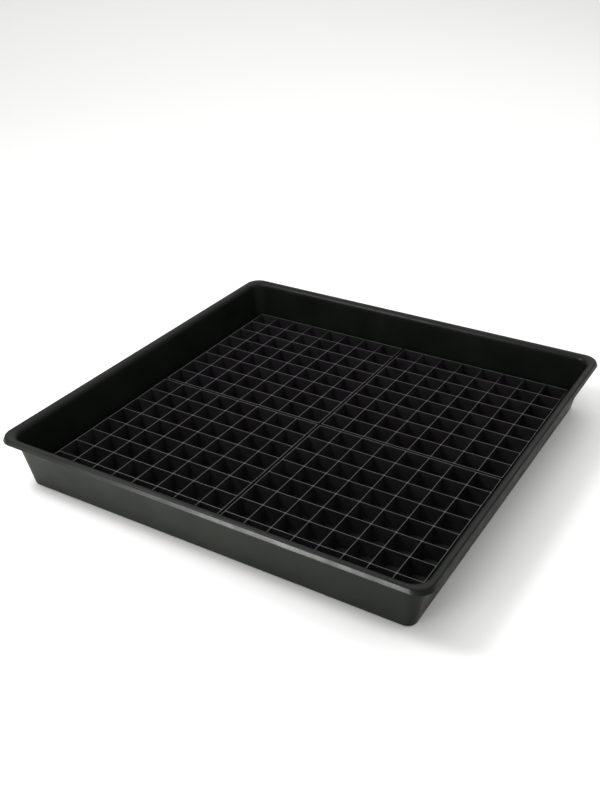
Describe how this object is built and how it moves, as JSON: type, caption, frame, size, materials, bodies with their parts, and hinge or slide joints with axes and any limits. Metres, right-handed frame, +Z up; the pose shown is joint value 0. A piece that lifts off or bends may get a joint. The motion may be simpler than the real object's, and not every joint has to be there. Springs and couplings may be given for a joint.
{
  "type": "spill containment pallet",
  "caption": "Low square sump tray with a rolled rim and loose lattice deck grids that lift out, to stand drums and cans on and catch leaks.",
  "frame": {"origin": "centre of the tray's underside, on the floor it stands on", "axes": "+Z up; +X along one side, to the right seen from the front; +Y to the rear"},
  "size_m": [1.2, 1.2, 0.152],
  "materials": {
    "tray_plastic": "satin moulded black polyethylene with a faint grey-green cast",
    "grid_plastic": "satin moulded black polyethylene"
  },
  "bodies": {
    "tray": {"sump_tray": "tray_plastic"},
    "grid_front_left": {"grid_front_left": "grid_plastic"},
    "grid_front_right": {"grid_front_right": "grid_plastic"},
    "grid_rear_left": {"grid_rear_left": "grid_plastic"},
    "grid_rear_right": {"grid_rear_right": "grid_plastic"}
  },
  "joints": [
    {"name": "lift_grid_front_left", "type": "slide", "parent": "tray", "child": "grid_front_left", "axis": [0, 0, 1], "range_m": [0, 0.16]},
    {"name": "lift_grid_front_right", "type": "slide", "parent": "tray", "child": "grid_front_right", "axis": [0, 0, 1], "range_m": [0, 0.16]},
    {"name": "lift_grid_rear_left", "type": "slide", "parent": "tray", "child": "grid_rear_left", "axis": [0, 0, 1], "range_m": [0, 0.16]},
    {"name": "lift_grid_rear_right", "type": "slide", "parent": "tray", "child": "grid_rear_right", "axis": [0, 0, 1], "range_m": [0, 0.16]}
  ]
}
